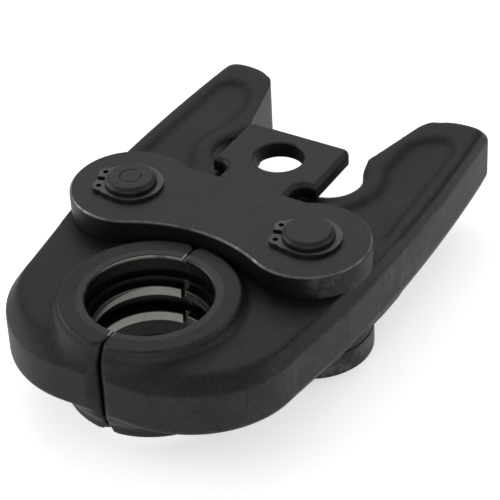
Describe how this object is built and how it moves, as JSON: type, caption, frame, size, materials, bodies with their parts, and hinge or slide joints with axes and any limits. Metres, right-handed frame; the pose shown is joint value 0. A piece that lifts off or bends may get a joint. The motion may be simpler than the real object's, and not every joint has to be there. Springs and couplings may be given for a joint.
{
  "type": "press fitting tool jaw",
  "caption": "Forged press fitting jaw: sprung arms on pins between tabbed side plates, with a stepped round press contour at the front.",
  "frame": {"origin": "on the axis of the tool bolt's hole, half way between the two side plates", "axes": "+Z along the tool bolt towards the upper side plate, +Y from the press contour to the roller tails, +X to the right-hand arm"},
  "size_m": [0.1022, 0.1611, 0.0454],
  "materials": {
    "forged_black": "matt black oxide over a forged surface; press lands and split faces ground bright",
    "plate_black": "fine matt black oxide over a milled surface",
    "pin_black": "turned, matt black oxide",
    "ring_steel": "stamped spring steel, phosphated",
    "spring_steel": "drawn spring wire"
  },
  "bodies": {
    "side_plates": {"upper_side_plate": "plate_black", "lower_side_plate": "plate_black", "left_pin": "pin_black", "right_pin": "pin_black", "upper_left_ring": "ring_steel", "upper_right_ring": "ring_steel", "lower_left_ring": "ring_steel", "lower_right_ring": "ring_steel", "spring_post": "pin_black", "closing_spring": "spring_steel"},
    "left_jaw": {"left_arm": "forged_black"},
    "right_jaw": {"right_arm": "forged_black"}
  },
  "joints": [
    {"name": "right_arm_pivot", "type": "hinge", "parent": "side_plates", "child": "right_jaw", "pos_m": [0.031, -0.0368, 0], "axis": [0, 0, 1], "range_deg": [0, 18], "stiffness_Nm_per_rad": 1.9, "springref_deg": -28.65, "deforming": ["closing_spring"]},
    {"name": "left_arm_pivot", "type": "hinge", "parent": "side_plates", "child": "left_jaw", "pos_m": [-0.031, -0.0368, 0], "axis": [0, 0, -1], "range_deg": [0, 18], "stiffness_Nm_per_rad": 1.9, "springref_deg": -28.65, "deforming": ["closing_spring"]}
  ]
}
